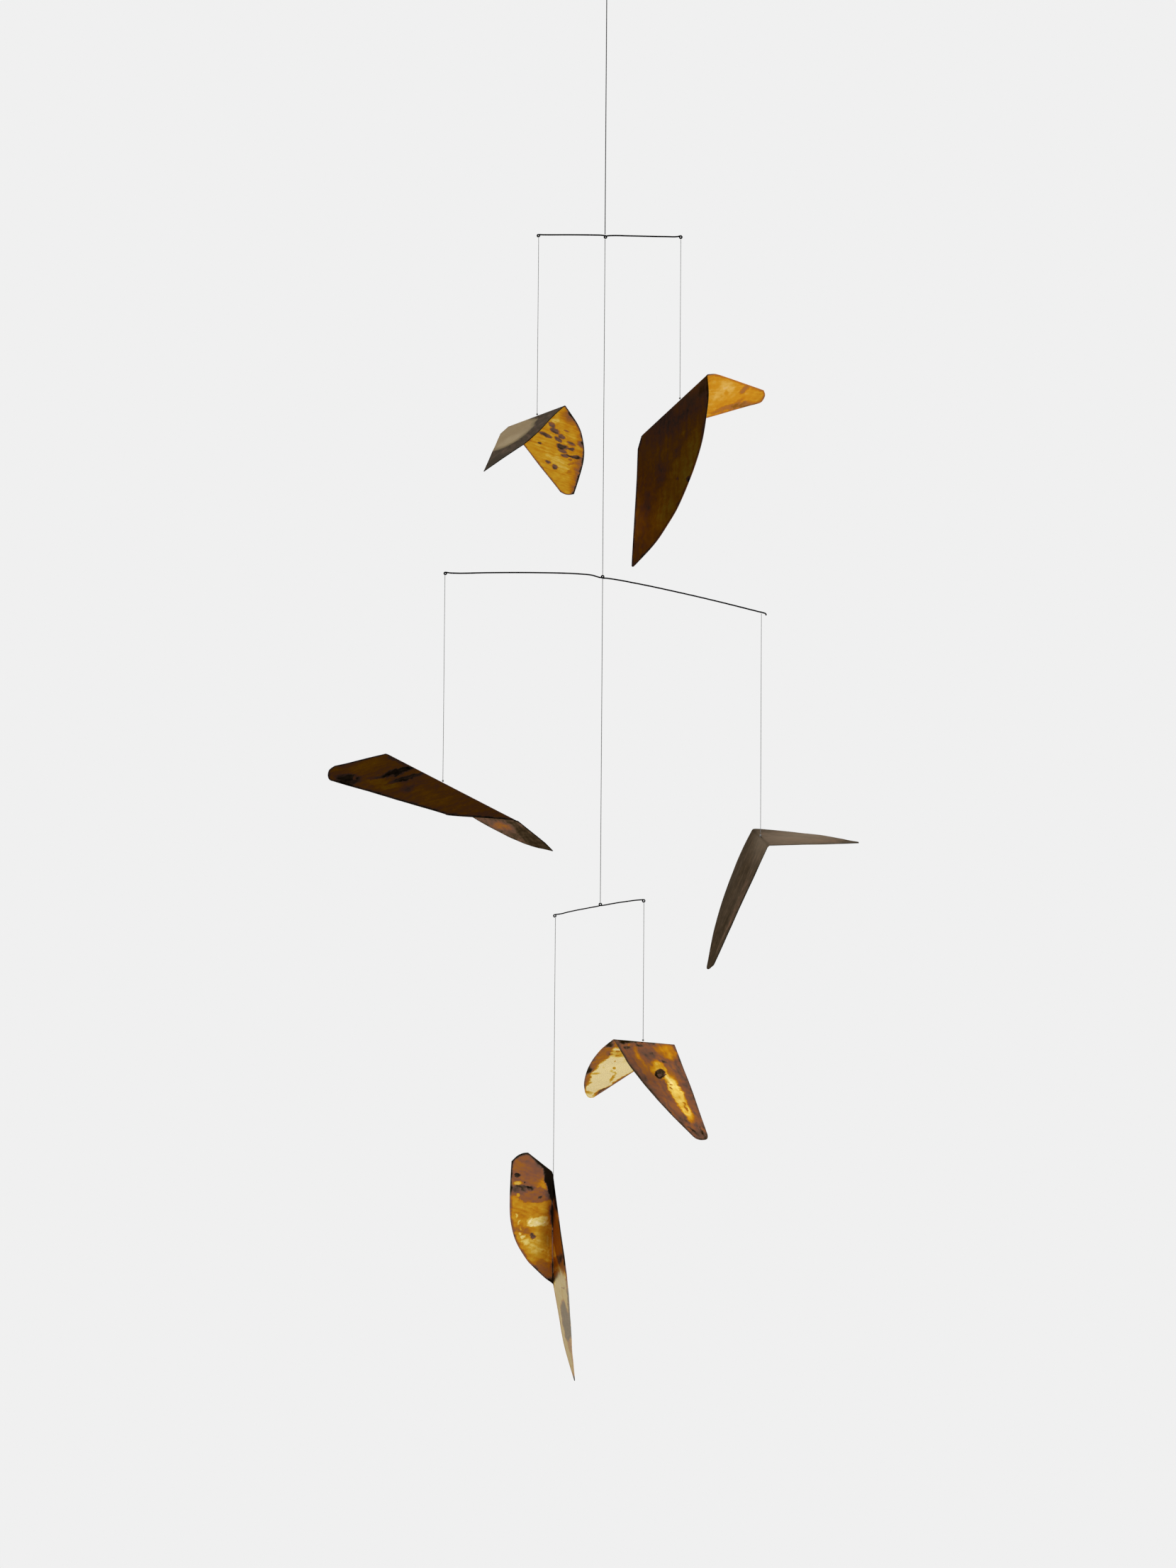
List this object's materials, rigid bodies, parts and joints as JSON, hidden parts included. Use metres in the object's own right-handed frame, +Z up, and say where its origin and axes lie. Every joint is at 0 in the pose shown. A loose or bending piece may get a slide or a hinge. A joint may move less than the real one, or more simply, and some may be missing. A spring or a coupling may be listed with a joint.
{
  "type": "hanging mobile sculpture",
  "caption": "Hanging mobile of bent wire arms on one plumb line, with a folded flame-coloured brass leaf on a thread at each wire end.",
  "frame": {"origin": "middle of the flat ceiling face of the small cap that holds the plumb line", "axes": "+Z up along the plumb line, +X along the wire arms to the viewer's right, +Y away from the viewer"},
  "size_m": [0.5101, 0.2424, 1.3711],
  "materials": {
    "cap": "satin",
    "line": "satin",
    "wire": "satin black",
    "thread": "clear nylon thread",
    "leaf": "flame-coloured, from pale gold through amber and copper to near-black"
  },
  "bodies": {
    "ceiling": {"ceiling_cap": "cap", "line_top": "line"},
    "arm_top": {"arm_top": "wire", "line_middle": "line"},
    "arm_middle": {"arm_middle": "wire", "line_bottom": "line"},
    "arm_bottom": {"arm_bottom": "wire"},
    "leaf_top_left": {"leaf_top_left": "leaf", "thread_top_left": "thread"},
    "leaf_top_right": {"leaf_top_right": "leaf", "thread_top_right": "thread"},
    "leaf_middle_left": {"leaf_middle_left": "leaf", "thread_middle_left": "thread"},
    "leaf_middle_right": {"leaf_middle_right": "leaf", "thread_middle_right": "thread"},
    "leaf_bottom_left": {"leaf_bottom_left": "leaf", "thread_bottom_left": "thread"},
    "leaf_bottom_right": {"leaf_bottom_right": "leaf", "thread_bottom_right": "thread"}
  },
  "joints": [
    {"name": "arm_top_swivel", "type": "hinge", "parent": "ceiling", "child": "arm_top", "pos_m": [0, 0, -0.2554], "axis": [0, 0, 1], "continuous": true},
    {"name": "arm_middle_swivel", "type": "hinge", "parent": "arm_top", "child": "arm_middle", "pos_m": [0, 0, -0.5881], "axis": [0, 0, 1], "continuous": true},
    {"name": "arm_bottom_swivel", "type": "hinge", "parent": "arm_middle", "child": "arm_bottom", "pos_m": [0, 0, -0.9042], "axis": [0, 0, 1], "continuous": true},
    {"name": "leaf_top_left_swivel", "type": "hinge", "parent": "arm_top", "child": "leaf_top_left", "pos_m": [-0.0645, 0, -0.4339], "axis": [0, 0, 1], "range_deg": [-30, 65]},
    {"name": "leaf_top_right_swivel", "type": "hinge", "parent": "arm_top", "child": "leaf_top_right", "pos_m": [0.0736, 0, -0.4172], "axis": [0, 0, 1], "range_deg": [-170, 110]},
    {"name": "leaf_middle_left_swivel", "type": "hinge", "parent": "arm_middle", "child": "leaf_middle_left", "pos_m": [-0.1522, 0, -0.7902], "axis": [0, 0, 1], "continuous": true},
    {"name": "leaf_middle_right_swivel", "type": "hinge", "parent": "arm_middle", "child": "leaf_middle_right", "pos_m": [0.1534, 0, -0.8406], "axis": [0, 0, 1], "continuous": true},
    {"name": "leaf_bottom_left_swivel", "type": "hinge", "parent": "arm_bottom", "child": "leaf_bottom_left", "pos_m": [-0.043, 0, -1.2158], "axis": [0, 0, 1], "continuous": true},
    {"name": "leaf_bottom_right_swivel", "type": "hinge", "parent": "arm_bottom", "child": "leaf_bottom_right", "pos_m": [0.0418, 0, -1.0375], "axis": [0, 0, 1], "range_deg": [-90, 35]}
  ]
}
